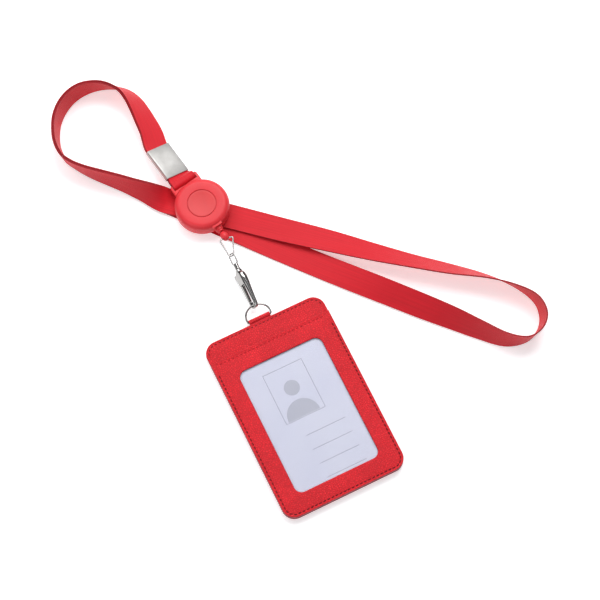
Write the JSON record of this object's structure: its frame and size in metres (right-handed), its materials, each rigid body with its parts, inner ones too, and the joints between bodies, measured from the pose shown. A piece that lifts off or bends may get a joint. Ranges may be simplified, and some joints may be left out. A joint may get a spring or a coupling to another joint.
{
  "type": "lanyard badge holder",
  "caption": "Flat ribbon neck strap with a metal crimp, a spring-loaded round cord reel, a swivel snap hook and a stitched card holder with a clear front window.",
  "frame": {"origin": "centre of the card holder's flat back face", "axes": "+Y along the holder from its bottom edge to its D-ring, +Z out of the holder's window, +X to the right seen from the front; the strap lies in the XY plane"},
  "size_m": [0.2122, 0.289, 0.0151],
  "materials": {
    "ribbon": "woven polyester ribbon, satin face",
    "leather": "pebbled grain",
    "lining": "fine grain",
    "case_plastic": "satin moulded",
    "label_plastic": "satin moulded",
    "nickel": "polished nickel plate",
    "satin_steel": "brushed",
    "spring_steel": "bright strip",
    "nylon": "moulded",
    "cord": "braided",
    "board": "grey board",
    "clear_film": "clear, glossy",
    "card": null
  },
  "bodies": {
    "strap": {"neck_strap": "ribbon", "crimp_sleeve": "satin_steel", "reel_loop": "ribbon"},
    "reel": {"reel_back_case": "case_plastic", "reel_front_case": "case_plastic", "label_disc": "label_plastic", "hub_pin": "satin_steel", "power_spring": "spring_steel"},
    "spool_drum": {"spool": "nylon", "spring_cover": "nylon", "wound_cord": "cord"},
    "cord_end": {"cord_bead": "case_plastic", "pull_cord": "cord"},
    "ring": {"triangle_ring": "nickel"},
    "eye": {"swivel_eye": "nickel"},
    "hook": {"hook_body": "nickel", "gate_pin": "satin_steel", "gate_spring": "spring_steel"},
    "gate": {"hook_gate": "nickel"},
    "dee": {"d_ring": "nickel"},
    "holder": {"back_pocket_panel": "leather", "back_panel": "leather", "stiffener_board": "board", "front_lining": "lining", "front_pocket_panel": "leather", "window_film": "clear_film", "d_ring_tab": "leather"},
    "card": {"id_card": "card"}
  },
  "joints": [
    {"name": "reel_tilt", "type": "hinge", "parent": "strap", "child": "reel", "pos_m": [-0.00398, 0.15183, 0.0067], "axis": [-0.986, -0.1668, 0], "range_deg": [0, 90]},
    {"name": "cord_pull", "type": "slide", "parent": "reel", "child": "cord_end", "axis": [0.1668, -0.986, 0], "range_m": [0, 0.6], "stiffness_N_per_m": 1, "springref_m": -0.5},
    {"name": "spool_spin", "type": "hinge", "parent": "reel", "child": "spool_drum", "pos_m": [-0.0008, 0.133, 0.0067], "axis": [0, 0, 1], "range_deg": [0, 2760]},
    {"name": "ring_swing", "type": "hinge", "parent": "cord_end", "child": "ring", "pos_m": [0.00327, 0.10894, 0.0064], "axis": [-0.9873, 0.1589, 0], "range_deg": [-40, 75]},
    {"name": "eye_swing", "type": "hinge", "parent": "ring", "child": "eye", "pos_m": [0.00158, 0.0991, 0.00628], "axis": [-0.6139, 0.0708, -0.7862], "range_deg": [-25, 40]},
    {"name": "hook_swivel", "type": "hinge", "parent": "eye", "child": "hook", "pos_m": [0.0013, 0.08913, 0.0056], "axis": [0.0279, 0.9973, 0.068], "continuous": true},
    {"name": "gate_open", "type": "hinge", "parent": "hook", "child": "gate", "pos_m": [-0.0003, 0.08116, 0.00267], "axis": [-0.8666, -0.0098, 0.4988], "range_deg": [0, 10], "stiffness_Nm_per_rad": 0.02, "springref_deg": -17.19},
    {"name": "dee_swing", "type": "hinge", "parent": "hook", "child": "dee", "pos_m": [0.0002, 0.06604, 0.00403], "axis": [-1, 0, 0], "range_deg": [-30, 70]},
    {"name": "holder_fold", "type": "hinge", "parent": "dee", "child": "holder", "pos_m": [0.0002, 0.0581, 0.0016], "axis": [-1, 0, 0], "range_deg": [-30, 75]},
    {"name": "card_slide", "type": "slide", "parent": "holder", "child": "card", "axis": [0, 1, 0], "range_m": [0, 0.02]}
  ],
  "couplings": [
    {"joint": "spool_spin", "follows": "cord_pull", "rad_per_m": 80}
  ]
}
